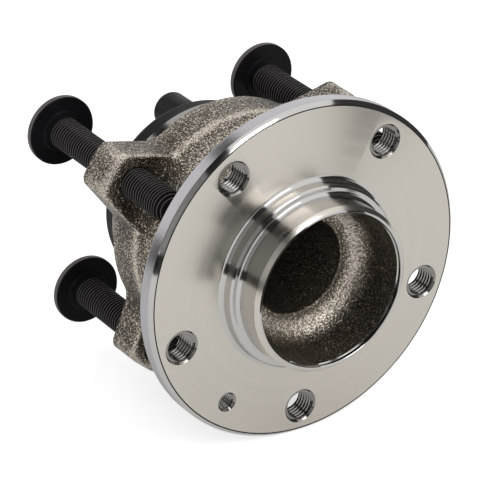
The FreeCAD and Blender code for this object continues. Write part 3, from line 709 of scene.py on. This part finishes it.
def make_finishes(tints):
    """All the finishes of the part."""
    GROUPS["blasted_grain"] = grain_group()
    GROUPS["turning_marks"] = turning_group()
    forged_finish("forged_skin", tints.forged, tints.bare, 1600.0, 0.0005, 0.36)
    forged_finish("pocket_skin", tints.pocket, tints.bare, 1500.0, 0.00028, 0.26)
    turned_finish("turned_face", tints.turned, 2600.0, 0.0, 0.235, 0.000003, 0.5)
    turned_finish("polished_steel", tints.polished, 3000.0, 1.0, 0.10, 0.000002, 0.4)
    turned_finish("rim_steel", tints.rim, 3000.0, 1.0, 0.24, 0.000006)
    turned_finish("ground_steel", tints.polished, 3500.0, 1.0, 0.22, 0.000004)
    turned_finish("thread_steel", tints.thread, 3500.0, 1.0, 0.16, 0.000004)
    coated_finish(
        "black_phosphate", tints.phosphate, 2500.0, 0.32, 0.0, 0.00001, 0.12, 0.08, tints.rubbed
    )
    coated_finish("shaded_groove", tints.groove, 3000.0, 0.5, 0.0, 0.00001, 0.05, 0.1)
    coated_finish("cap_polymer", tints.polymer, 3000.0, 0.45, 0.0, 0.00002, 0.12, 0.15)
    coated_finish("seal_rubber", tints.rubber, 3000.0, 0.6, 0.0, 0.00002)
    coated_finish("cage_polymer", tints.cage, 2500.0, 0.45, 0.0, 0.00002)
    coated_finish("contact_brass", tints.brass, 3000.0, 0.3, 1.0, 0.000004, 0.06)


# Pieces

def hub_path(sizes):
    """Half section of the hub from the bottom of its pocket round to the end of its spindle."""
    flange = sizes.flange_radius / MM
    pilot = sizes.pilot_radius / MM
    disc = sizes.disc_radius / MM
    rough, turned, bright, ground, rim, groove = range(6)
    corners = [
        (0.0, 33.0, 0.0, rough),
        (13.2, 33.0, 5.0, rough),
        (18.2, 4.8, 0.9, rough),
        (28.4, 4.8, 9.6, rough),
        (28.95, -14.75, 0.25, bright),
        (29.4, -15.2, 0.15, bright),
        (29.4, -16.3, 0.15, bright),
        (29.6, -16.5, 0.1, bright),
        (30.3, -16.5, 0.12, turned),
        (pilot, -15.1, 0.3, bright),
        (pilot, -5.3, 1.6, bright),
        (disc - 0.7, -5.3, 0.15, bright),
        (disc, -4.6, 0.2, bright),
        (disc, 0.0, 2.0, bright),
        (flange - 1.85, 0.0, 0.05, groove),
        (flange - 1.75, 0.12, 0.05, groove),
        (flange - 1.5, 0.12, 0.05, groove),
        (flange - 1.4, 0.0, 0.05, bright),
        (flange - 0.4, 1.0, 0.1, bright),
        (flange, 1.6, 0.1, rim),
        (flange, 6.5, 0.2, rim),
        (flange - 0.6, 7.1, 0.2, rim),
        (62.2, 7.1, 0.6, rough),
        (42.0, 12.5, 2.0, rough),
        (40.6, 13.2, 0.5, ground),
        (27.4, 13.2, 3.0, ground),
        (27.4, 20.0, 0.2, ground),
        (26.3, 21.0, 0.2, ground),
    ]
    points, finishes = rounded_path(corners)
    face = next(k for k, (r, y) in enumerate(points) if abs(y) < 1e-6 and r > disc)
    finishes[face] = turned
    tail = arc(BALL_CIRCLE, OUTBOARD_ROW, TRACK_RADIUS, 180 + 70.12, 180 - 38.0, 14)
    tail += [(23.4, 42.4), (22.8, 43.0), (17.0, 43.0), (17.0, 66.5), (21.6, 66.5), (21.6, 68.9)]
    tail += arc(19.2, 68.9, 2.4, 0, 90, 6)[1:]
    tail += [(0.0, 71.3)]
    return np.vstack([points, np.array(tail)]), finishes + [ground] * len(tail)


def hole_places(radius, first, count):
    """Places (x, z) spread evenly round a circle."""
    angles = [first + 2 * math.pi * k / count for k in range(count)]
    return [(radius * math.cos(a), radius * math.sin(a)) for a in angles]


def make_hub(sizes):
    """The hub with its flange, pilots and pocket, its five wheel holes and its screw hole."""
    points, finishes = hub_path(sizes)
    materials = skins(
        "pocket_skin", "turned_face", "polished_steel", "ground_steel", "rim_steel", "shaded_groove"
    )
    hub = turned_mesh("hub_forging", points, finishes, materials, 288)
    circle = sizes.hole_circle / MM
    root = sizes.hole_radius / MM
    wheel_holes = hole_places(circle, sizes.hole_angle, sizes.hole_count)
    cut(hub, wheel_holes, [(7.6, -1.0), (root, 0.6), (root, 14.0)], "thread_steel")
    screw_angle = sizes.hole_angle + math.pi
    screw_hole = hole_places(circle, screw_angle, 1)
    cut(hub, screw_hole, [(4.8, -1.0), (3.0, 0.8), (3.0, 14.0)], "thread_steel")

    tree = thread_tree()
    wheel_threads = grow("wheel_threads", tree, {
        "Crest Radius": sizes.hole_radius - sizes.thread_depth,
        "Root Radius": sizes.hole_radius + 0.02 * MM,
        "Pitch": sizes.thread_pitch,
        "Start": 0.7 * MM,
        "Length": 8.2 * MM,
        "Turns": 7,
        "Sides": 40,
        "Count": sizes.hole_count,
        "Circle Radius": sizes.hole_circle,
        "First Angle": sizes.hole_angle,
        "Finish": FINISHES["thread_steel"],
    })
    screw_thread = grow("screw_thread", tree, {
        "Crest Radius": 2.5 * MM,
        "Root Radius": 3.02 * MM,
        "Pitch": 1.0 * MM,
        "Start": 0.9 * MM,
        "Length": 8.0 * MM,
        "Turns": 9,
        "Sides": 28,
        "Circle Radius": sizes.hole_circle,
        "First Angle": screw_angle,
        "Finish": FINISHES["thread_steel"],
    })
    for thing in (wheel_threads, screw_thread):
        thing.data.flip_normals()
    hub = join("hub_forging", [hub, wheel_threads, screw_thread])

    # All of the hub takes one plain level, and the pocket's bowl a lighter, more specked ring on
    # top of it: a painted highlight.
    plain_wear, bowl_painted_highlight, bowl_radius, bowl_width, bowl_back = 0.42, 0.42, 23.5, 3.0, 11.0
    radius, station = turned_places(hub)
    bowl_highlight_mask = hump(radius, bowl_radius, bowl_width) * (station < bowl_back)
    keep_wear_and_painted_light(hub, plain_wear + bowl_painted_highlight * bowl_highlight_mask)
    place(hub, "hub", "turned_steel", "hub")


def lug_side(reach, shift):
    """Points of one side of a lug from the middle of its tip to the barrel."""
    half, blend, corner, flare = 7.6 + shift, 9.0, 4.5, math.radians(20.0)
    sine, cosine = math.sin(flare), math.cos(flare)
    tip = np.array([reach, half - corner * (1 - sine) / cosine])
    side = np.array([reach - corner + corner * sine, tip[1] + corner * cosine])
    out = side[0] * sine + side[1] * cosine + blend
    along = math.sqrt((BARREL_RADIUS + blend) ** 2 - out ** 2)
    centre = np.array([out * sine + along * cosine, out * cosine - along * sine])
    start = centre - blend * np.array([sine, cosine])
    foot = centre * BARREL_RADIUS / (BARREL_RADIUS + blend)

    points = [np.array([reach, tip[1] * k / 4]) for k in range(5)]
    corner_centre = np.array([reach - corner, tip[1]])
    points += [corner_centre + corner * compass((math.pi / 2 - flare) * k / 6) for k in range(1, 7)]
    steps = max(2, int(np.linalg.norm(start - side)))
    points += [side + (start - side) * k / steps for k in range(1, steps + 1)]
    first = math.atan2(*(start - centre)[::-1])
    last = math.atan2(*(foot - centre)[::-1])
    turn = (last - first + math.pi) % (2 * math.pi) - math.pi
    points += [centre + blend * compass(first + turn * k / 9) for k in range(1, 10)]
    return points


def forging_outline():
    """The outer ring's plate seen along the axle: four lugs and the barrel between them."""
    pace = 1.4
    outline = []
    for index, (degrees, reach, shift) in enumerate(LUGS):
        right = [np.array([x, -y]) for x, y in lug_side(reach, -shift)][::-1]
        left = lug_side(reach, shift)
        cosine, sine = compass(math.radians(degrees))
        spin = np.array([[cosine, -sine], [sine, cosine]])
        outline += [spin @ point for point in right + left[1:]]
        following, far, off = LUGS[(index + 1) % len(LUGS)]
        foot = lug_side(far, -off)[-1]
        there = math.radians(following) + math.atan2(-foot[1], foot[0])
        here = math.atan2(outline[-1][1], outline[-1][0])
        span = (there - here) % (2 * math.pi)
        steps = max(2, int(span * BARREL_RADIUS / pace))
        outline += [BARREL_RADIUS * compass(here + span * k / steps) for k in range(1, steps)]
    return outline


def softened(values, kernel):
    """Values along a line, blurred, with both ends kept in place."""
    reach = len(kernel) // 2
    before = 2 * values[0] - values[1:reach + 1][::-1]
    after = 2 * values[-1] - values[-reach - 1:-1][::-1]
    return np.convolve(np.concatenate([before, values, after]), kernel, "valid")


def forged_section(reach, softness):
    """Outer profile of the forging at one angle, front to back, with softened corners."""
    middle, blend, lean = 51.72, 8.0, math.atan(3.7 / 18.0)
    foot = middle - blend * math.cos(lean)
    front = foot + (reach - foot) * np.linspace(0.0, 1.0, 25) ** 2
    hollow = LUG_FRONT - blend + np.sqrt(blend ** 2 - np.clip(middle - front, 0.0, blend) ** 2)
    cone = np.minimum(LUG_FRONT, LUG_FRONT - (BARREL_RADIUS - front) / math.tan(lean))
    lug = min(1.0, max(0.0, reach - BARREL_RADIUS))
    stations = hollow * lug + cone * (1.0 - lug)
    neck = [(41.5, 16.2), (41.5, 25.0)]
    corners = np.vstack([neck, np.stack([front, stations], 1), [(reach, LUG_BACK)]])

    pace = 0.25
    spans = np.linalg.norm(np.diff(corners, axis=0), axis=1)
    marks = np.concatenate([[0], np.cumsum(spans)])
    fine = np.arange(0, marks[-1] + 0.1, pace)
    width = int(4 * softness / pace)
    kernel = np.exp(-0.5 * (np.arange(-width, width + 1) * pace / softness) ** 2)
    kernel /= kernel.sum()
    profile = [softened(np.interp(fine, marks, corners[:, axis]), kernel) for axis in (0, 1)]
    zones = [0.0, marks[1], marks[2], marks[-2], marks[-1]]
    runs = zip(zones, zones[1:], (6, 12, 24, 12))
    picks = [np.linspace(start, end, count, endpoint=False) for start, end, count in runs]
    picks = np.concatenate(picks + [[marks[-1]]])
    return np.stack([np.interp(picks, fine, values) for values in profile], 1)


def ring_profile():
    """The ring's turned surfaces from the back of the lugs over the spigot and through the bore."""
    profile = [
        (39.3, 57.0),
        (38.5, 57.35),
        (38.8, 57.9),
        (38.8, 68.4),
        (37.8, 69.4),
        (35.6, 69.4),
        (35.4, 69.2),
        (35.4, 63.8),
        (34.3, 63.8),
    ]
    profile += arc(BALL_CIRCLE, INBOARD_ROW, TRACK_RADIUS, 26.3, -61.4, 10)
    profile += arc(BALL_CIRCLE, OUTBOARD_ROW, TRACK_RADIUS, 61.4, -26.3, 10)
    profile += [(34.3, 19.8), (36.2, 19.8), (36.2, 15.5), (36.5, 15.2), (40.6, 15.2), (41.2, 15.6)]
    return np.array(profile)


def make_outer_ring(sizes):
    """The forged outer ring with its four lugs, its spigot and its tracks."""
    back = ring_profile()
    columns = []
    for point in forging_outline():
        reach = float(np.hypot(*point))
        x, z = point / reach
        section = forged_section(reach, sizes.forging_round / MM)
        profile = np.vstack([section, back])
        columns.append(np.stack([profile[:, 0] * x, profile[:, 1], profile[:, 0] * z], 1))
    grid = np.array(columns)
    count, rows = grid.shape[:2]
    forged_rows = rows - len(back)
    keep, share = 0.4, 0.15
    for _ in range(3):
        inner = grid[:, 1:forged_rows - 1]
        sides = (np.roll(grid, 1, 0) + np.roll(grid, -1, 0))[:, 1:forged_rows - 1]
        ends = grid[:, 0:forged_rows - 2] + grid[:, 2:forged_rows]
        grid[:, 1:forged_rows - 1] = inner * keep + (sides + ends) * share

    forged, ground, shaded = range(3)
    faces = []
    finishes = []
    for k in range(count):
        n = (k + 1) % count
        for row in range(rows):
            up = (row + 1) % rows
            faces.append((k * rows + row, n * rows + row, n * rows + up, k * rows + up))
            behind = shaded if row < forged_rows + 5 else ground
            finishes.append(forged if row < forged_rows - 1 else behind)
    materials = skins("forged_skin", "ground_steel", "thread_steel")
    verts = grid.reshape(-1, 3)
    ring = mesh_object("outer_ring_forging", verts, faces, finishes, materials, 40.0)

    barrel_limit = 47.0
    radius, station = turned_places(ring)
    # Painted light on the ring's skin: ridges lighter as wear and painted highlight, hollows darker
    # as painted shade, and two painted highlight bands round the barrel, at its shoulder and its
    # waist.
    shoulder_highlight, waist_highlight = 0.34 * hump(station, 42.5, 1.6), 0.2 * hump(station, 30.0, 7.0)
    barrel = np.clip(barrel_limit - radius, 0.0, 1.0)
    keep_wear_and_painted_light(ring, edge_wear_and_painted_light(ring, 4.0) + barrel * (shoulder_highlight + waist_highlight))
    bolt_hole = [(6.1, 39.5), (6.1, 56.2), (7.4, 57.5), (7.4, 60.0)]
    cut(ring, BOLT_CENTRES.values(), bolt_hole, "ground_steel")
    place(ring, "housing", "forged_steel", "outer_ring")


def hexagon_head(skin, segments=96):
    """A hexagon head whose top corners are turned off in a cone."""
    corner, top_radius, slope, high = 9.24, 7.85, math.tan(math.radians(30.0)), 102.3
    stations = [97.4, 99.0, 100.4, 100.8, 101.1, 101.4, 101.7, 102.0, high]
    apothem = corner * math.cos(math.pi / 6)
    angles = [2 * math.pi * k / segments for k in range(segments)]
    flats = [apothem / math.cos(abs((a % (math.pi / 3)) - math.pi / 6)) for a in angles]
    verts = []
    for y in stations:
        cone = top_radius + (high - y) / slope
        verts += [about_axle(min(flat, cone), y, a) for flat, a in zip(flats, angles)]
    faces = grid_faces(len(stations), segments)
    top = len(verts) - segments
    faces += [(top + k, top + (k + 1) % segments, len(verts)) for k in range(segments)]
    verts.append((0.0, high, 0.0))
    return mesh_object("bolt_hexagon", verts, faces, [0] * len(faces), [skin], 28.0)


def make_bolts(sizes):
    """The four mounting bolts: one pattern, copied to each place and turned."""
    skin = FINISHES["black_phosphate"]
    root = (sizes.hole_radius - sizes.thread_depth) / MM
    point, point_radius, point_slope = 17.5, 3.7, 0.47
    corners = [
        (0.0, point, 0.0, 0),
        (point_radius, point, 0.2, 0),
        (root, 21.0, 0.0, 0),
        (root, 92.2, 0.4, 0),
        (5.85, 92.8, 0.2, 0),
        (5.85, 93.9, 0.2, 0),
        (7.6, 93.9, 0.15, 0),
        (8.0, 94.3, 0.15, 0),
        (8.0, 94.5, 0.1, 0),
        (8.4, 94.5, 0.0, 0),
        (12.4, 94.5, 0.0, 0),
        (12.9, 94.5, 0.15, 0),
        (13.3, 94.9, 0.25, 0),
        (13.3, 96.8, 0.35, 0),
        (12.6, 97.4, 0.4, 0),
        (9.8, 98.0, 0.6, 0),
        (8.2, 98.0, 0.0, 0),
        (0.0, 98.0, 0.0, 0),
    ]
    points, finishes = rounded_path(corners, 0.15)
    body = turned_mesh("bolt_body", points, finishes, [skin], 72)
    thread = grow("bolt_thread", thread_tree(), {
        "Crest Radius": sizes.hole_radius,
        "Root Radius": sizes.hole_radius - sizes.thread_depth,
        "Pitch": sizes.thread_pitch,
        "Start": point * MM,
        "Length": 75.0 * MM,
        "Turns": 51,
        "Sides": 40,
        "Tip Radius": 4.45 * MM,
        "Tip Slope": point_slope,
        "Finish": skin,
    })
    pattern = join("bolt_pattern", [body, hexagon_head(skin), thread])

    radius, station = turned_places(pattern)
    core = np.minimum(root, point_radius + point_slope * (station - point))
    shank_end, collar_end, rim_end = 93.0, 94.6, 97.1
    collar_radius, rim_radius, width = 7.8, 12.7, 0.4
    # Crests of the thread, the rim of the head's flange and the collar ring take the rubbed colour:
    # rubbed phosphate and painted highlight.
    crest = np.where(station < shank_end, (radius - core) * MM / sizes.thread_depth, 0.0)
    rim = np.where(station < rim_end, (radius - rim_radius) / width, 0.0)
    collar = np.where(station < collar_end, 1.0 - np.abs(radius - collar_radius) / width, 0.0)
    keep_wear_and_painted_light(pattern, np.maximum(np.maximum(crest, rim), collar))
    for number, (x, z) in BOLT_CENTRES.items():
        bolt = new_object(f"mounting_bolt_{number}_dressed", pattern.data.copy())
        turn = Matrix.Rotation(math.radians(BOLT_TURNS[number]), 4, "Y")
        bolt.data.transform(Matrix.Translation((x * MM, 0.0, z * MM)) @ turn)
        place(bolt, "housing", "phosphate_steel", f"mounting_bolt_{number}")
    bpy.data.objects.remove(pattern)


def finish_nodes():
    """Give the kept solids their finishes."""
    for finish, starts in NODE_FINISHES.items():
        for name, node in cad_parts.items():
            if name.startswith(starts):
                for slot in node.material_slots:
                    slot.link = "OBJECT"
                    slot.material = FINISHES[finish]


# Studio

def plain_object(name, verts, faces, material):
    """A piece of the studio from points in metres."""
    mesh = bpy.data.meshes.new(name)
    mesh.from_pydata(verts, [], faces)
    mesh.materials.append(material)
    return new_object(name, mesh)


def seen_rays(tree):
    """Light Path outputs: 1 for what the eye sees straight or through glass, and 1 for gloss."""
    rays = tree.nodes.new("ShaderNodeLightPath").outputs
    seen = maths(tree, "MAXIMUM", rays["Is Camera Ray"], rays["Is Transmission Ray"])
    return seen, rays["Is Glossy Ray"]


def make_floor(base):
    """Pale floor that shows as white to the eye and keeps its shadow."""
    material, tree, surface = new_finish("floor")
    seen, glossy = seen_rays(tree)
    lift = maths(tree, "MULTIPLY", seen, FLOOR_LIFT)
    lift = maths(tree, "ADD", lift, maths(tree, "MULTIPLY", glossy, FLOOR_LIFT_IN_GLOSS))
    feed(tree, surface, {
        "Base Color": (*base, 1.0),
        "Roughness": 0.9,
        "Specular IOR Level": 0.0,
        "Emission Color": WHITE,
        "Emission Strength": lift,
    })
    corners = [(-1, -1), (1, -1), (1, 1), (-1, 1)]
    verts = [(x * FLOOR_REACH, y * FLOOR_REACH, FLOOR_LEVEL) for x, y in corners]
    floor = plain_object("floor", verts, [(0, 1, 2, 3)], material)


def mirrored(ray, normal):
    """A ray after a mirror that faces along a normal."""
    return ray - 2 * (ray @ normal) * normal


def stand_card(verts, rows, columns, tone):
    """A backdrop card of one tone that only glossy steel shows."""
    material, tree, surface = new_finish("card")
    feed(tree, surface, {"Base Color": (tone, tone, tone, 1.0), "Roughness": 1.0})
    card = plain_object("dark_card", verts, grid_faces(rows, columns, closed=False), material)
    card.visible_camera = False
    card.visible_diffuse = False
    card.visible_shadow = False
    card.visible_transmission = False


def far_card(first, last, near, far, tone, corner):
    """A card that turned steel shows between two angles about the axle.

    It stands where a mirror looks that is tilted from near to far degrees off the face, towards
    those angles. A corner card stands where that look goes on to from a wall about the axle.
    """
    rows, columns = 9, 13
    start = np.array(about_axle(CARD_START, 0.0, math.radians((first + last) / 2)))
    verts = []
    for angle in np.radians(np.linspace(first, last, rows)):
        wall = np.array(about_axle(1.0, 0.0, angle))
        for tilt in np.radians(np.linspace(near, far, columns)):
            mirror = np.array(about_axle(math.sin(tilt), -math.cos(tilt), angle))
            ray = mirrored(np.array(CAMERA_LOOK), mirror)
            if corner:
                ray = mirrored(ray, wall)
            drop = (start[2] - CARD_BOTTOM) / max(-ray[2], 1e-6)
            verts.append(tuple(start + ray * min(FAR_CARD, drop)))
    stand_card(verts, rows, columns, tone)


def face_card(first, last, inner, outer, tone):
    """A card near the wheel side, where the face shows it between two angles and two radii."""
    side = 5
    ray = mirrored(np.array(CAMERA_LOOK), np.array([0.0, 1.0, 0.0]))
    verts = []
    for angle in np.radians(np.linspace(first, last, side)):
        for radius in np.linspace(inner, outer, side) * MM:
            verts.append(tuple(np.array(about_axle(radius, 0.0, angle)) + NEAR_CARD * ray))
    stand_card(verts, side, side, tone)


def make_world():
    """White surroundings for the eye, gloss and glass, and a plain level of light for all else."""
    world = bpy.data.worlds.new("studio")
    bpy.context.scene.world = world
    world.use_nodes = True
    tree = world.node_tree
    strength = ramp(tree, maths(tree, "MAXIMUM", *seen_rays(tree)), 0.0, 1.0, WORLD_LIGHT, 1.0)
    feed(tree, tree.nodes["Background"], {"Color": WHITE, "Strength": strength})


def soft_light(name, stand, width, height, power):
    """A soft lamp that faces the part."""
    lamp = bpy.data.lights.new(name, "AREA")
    lamp.shape = "RECTANGLE"
    lamp.size = width
    lamp.size_y = height
    lamp.energy = power
    thing = new_object(name, lamp)
    thing.location = stand
    thing.rotation_euler = (Vector(LAMP_AIM) - Vector(stand)).to_track_quat("-Z", "Y").to_euler()


def make_camera():
    """The camera at the viewing angle of the picture."""
    camera = bpy.data.cameras.new("camera")
    camera.sensor_width = SENSOR_WIDTH
    camera.lens = CAMERA_LENS
    camera.clip_end = 50.0
    thing = new_object("camera", camera)
    thing.location = CAMERA_PLACE
    thing.rotation_euler = Vector(CAMERA_LOOK).to_track_quat("-Z", "Y").to_euler()
    bpy.context.scene.camera = thing


def make_studio(tints):
    """The floor, the cards, the surroundings, the lamps and the camera."""
    make_floor(tints.floor)
    for card in CHAMFER_CARDS:
        far_card(*card, corner=False)
    for card in CORNER_CARDS:
        far_card(*card, corner=True)
    for card in FACE_CARDS:
        face_card(*card)
    make_world()
    for name, lamp in LAMPS.items():
        soft_light(name, *lamp)
    bpy.context.scene.view_settings.view_transform = "Standard"
    make_camera()


# The add-on

class HUB_OT_finishes(bpy.types.Operator):
    """Make the finishes and give them to the kept solids"""

    bl_idname = "hub.finishes"
    bl_label = "Finishes"

    def execute(self, context):
        make_finishes(context.scene.hub_colours)
        finish_nodes()
        return {"FINISHED"}


class HUB_OT_hub(bpy.types.Operator):
    """Turn the flanged hub and cut its threads"""

    bl_idname = "hub.hub"
    bl_label = "Flanged hub"

    def execute(self, context):
        make_hub(context.scene.hub_sizes)
        return {"FINISHED"}


class HUB_OT_outer_ring(bpy.types.Operator):
    """Forge the outer ring with its four lugs"""

    bl_idname = "hub.outer_ring"
    bl_label = "Outer ring"

    def execute(self, context):
        make_outer_ring(context.scene.hub_sizes)
        return {"FINISHED"}


class HUB_OT_bolts(bpy.types.Operator):
    """Make the four mounting bolts"""

    bl_idname = "hub.bolts"
    bl_label = "Mounting bolts"

    def execute(self, context):
        make_bolts(context.scene.hub_sizes)
        return {"FINISHED"}


class HUB_OT_studio(bpy.types.Operator):
    """Set the floor, the lights and the camera"""

    bl_idname = "hub.studio"
    bl_label = "Studio"

    def execute(self, context):
        make_studio(context.scene.hub_colours)
        return {"FINISHED"}


STEPS = (HUB_OT_finishes, HUB_OT_hub, HUB_OT_outer_ring, HUB_OT_bolts, HUB_OT_studio)


class HUB_PT_panel(bpy.types.Panel):
    """Sizes, colours and steps of the wheel hub bearing"""

    bl_idname = "HUB_PT_panel"
    bl_label = "Wheel hub bearing"
    bl_space_type = "VIEW_3D"
    bl_region_type = "UI"
    bl_category = "Hub"

    def draw(self, context):
        for group in (context.scene.hub_sizes, context.scene.hub_colours):
            for name in group.__annotations__:
                self.layout.prop(group, name)
        for step in STEPS:
            self.layout.operator(step.bl_idname)


CLASSES = (HubSizes, HubColours, *STEPS, HUB_PT_panel)


def register():
    for made in CLASSES:
        bpy.utils.register_class(made)
    bpy.types.Scene.hub_sizes = bpy.props.PointerProperty(type=HubSizes)
    bpy.types.Scene.hub_colours = bpy.props.PointerProperty(type=HubColours)


def unregister():
    del bpy.types.Scene.hub_colours
    del bpy.types.Scene.hub_sizes
    for made in reversed(CLASSES):
        bpy.utils.unregister_class(made)


def main():
    register()
    bpy.ops.hub.finishes()
    bpy.ops.hub.hub()
    bpy.ops.hub.outer_ring()
    bpy.ops.hub.bolts()
    bpy.ops.hub.studio()
    bpy.context.view_layer.update()


if __name__ == "__main__":
    main()
